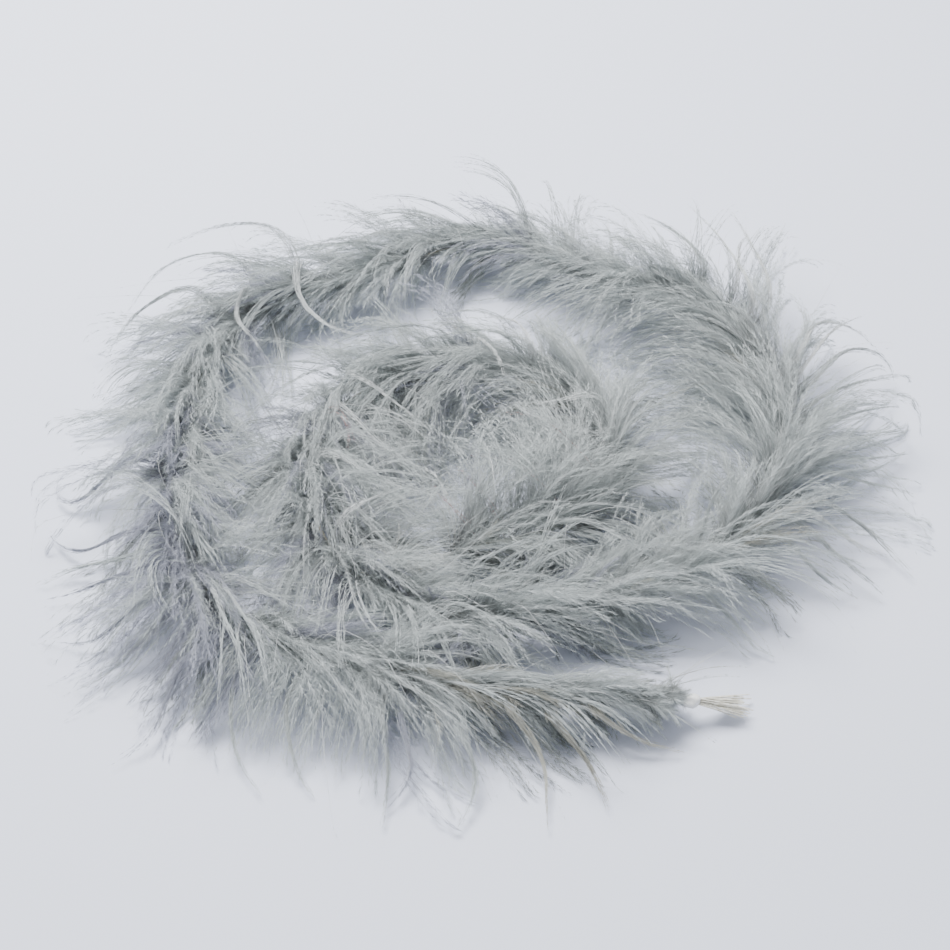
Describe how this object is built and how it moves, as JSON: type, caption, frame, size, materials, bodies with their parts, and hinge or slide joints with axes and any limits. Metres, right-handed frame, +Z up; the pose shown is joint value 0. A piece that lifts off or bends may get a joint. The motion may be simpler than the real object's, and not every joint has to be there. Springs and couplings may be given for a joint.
{
  "type": "feather boa",
  "caption": "Limp feather boa laid in a loose flat spiral: plumes with pared quills bound along a twisted core cord, both cord ends sealed with glue.",
  "frame": {"origin": "on the table, under the middle of the spiral's outline", "axes": "+Z up off the table; +X to the right and +Y away from someone standing at the side where the outer end lies; the outer end of the cord points to +X"},
  "size_m": [0.5118, 0.5285, 0.056],
  "materials": {
    "ostrich_barbs": "downy, matt, dyed silver grey",
    "pared_quill": "keratin, satin, straw coloured",
    "binding_thread": "waxed thread",
    "core_cord": "two-ply cotton cord",
    "dried_glue": "dried craft glue, slightly glossy"
  },
  "bodies": {
    "coil": {"barbs_05": "ostrich_barbs", "quill_05": "pared_quill", "lashing_05": "binding_thread", "barbs_06": "ostrich_barbs", "quill_06": "pared_quill", "lashing_06": "binding_thread", "barbs_07": "ostrich_barbs", "quill_07": "pared_quill", "lashing_07": "binding_thread", "barbs_08": "ostrich_barbs", "quill_08": "pared_quill", "lashing_08": "binding_thread", "barbs_09": "ostrich_barbs", "quill_09": "pared_quill", "lashing_09": "binding_thread", "barbs_10": "ostrich_barbs", "quill_10": "pared_quill", "lashing_10": "binding_thread", "barbs_11": "ostrich_barbs", "quill_11": "pared_quill", "lashing_11": "binding_thread", "barbs_12": "ostrich_barbs", "quill_12": "pared_quill", "lashing_12": "binding_thread", "barbs_13": "ostrich_barbs", "quill_13": "pared_quill", "lashing_13": "binding_thread", "core_cord_05": "core_cord"},
    "outer_link_3": {"barbs_04": "ostrich_barbs", "quill_04": "pared_quill", "lashing_04": "binding_thread", "core_cord_04": "core_cord"},
    "outer_link_2": {"barbs_03": "ostrich_barbs", "quill_03": "pared_quill", "lashing_03": "binding_thread", "core_cord_03": "core_cord"},
    "outer_link_1": {"barbs_02": "ostrich_barbs", "quill_02": "pared_quill", "lashing_02": "binding_thread", "core_cord_02": "core_cord"},
    "outer_end": {"barbs_01": "ostrich_barbs", "quill_01": "pared_quill", "lashing_01": "binding_thread", "core_cord_01": "core_cord", "outer_glue_bead": "dried_glue", "outer_strand_01": "pared_quill", "outer_strand_02": "pared_quill", "outer_strand_03": "pared_quill", "outer_strand_04": "pared_quill"},
    "inner_end": {"barbs_14": "ostrich_barbs", "quill_14": "pared_quill", "lashing_14": "binding_thread", "core_cord_06": "core_cord", "inner_glue_bead": "dried_glue", "inner_strand_01": "pared_quill", "inner_strand_02": "pared_quill", "inner_strand_03": "pared_quill"}
  },
  "joints": [
    {"name": "outer_bend_3", "type": "hinge", "parent": "coil", "child": "outer_link_3", "pos_m": [-0.16143, 0.12212, 0.02], "axis": [0, 0, -1], "range_deg": [0, 30]},
    {"name": "outer_bend_2", "type": "hinge", "parent": "outer_link_3", "child": "outer_link_2", "pos_m": [-0.19402, -0.00887, 0.02], "axis": [0, 0, -1], "range_deg": [0, 30]},
    {"name": "outer_bend_1", "type": "hinge", "parent": "outer_link_2", "child": "outer_link_1", "pos_m": [-0.15424, -0.13609, 0.02], "axis": [0, 0, -1], "range_deg": [0, 30]},
    {"name": "outer_end_lift", "type": "hinge", "parent": "outer_link_1", "child": "outer_end", "pos_m": [-0.03143, -0.19349, 0.02], "axis": [-0.263, -0.9648, 0], "range_deg": [0, 60]},
    {"name": "inner_end_lift", "type": "hinge", "parent": "coil", "child": "inner_end", "pos_m": [0.07964, -0.01594, 0.02], "axis": [-0.9954, 0.0954, 0], "range_deg": [0, 60]}
  ]
}
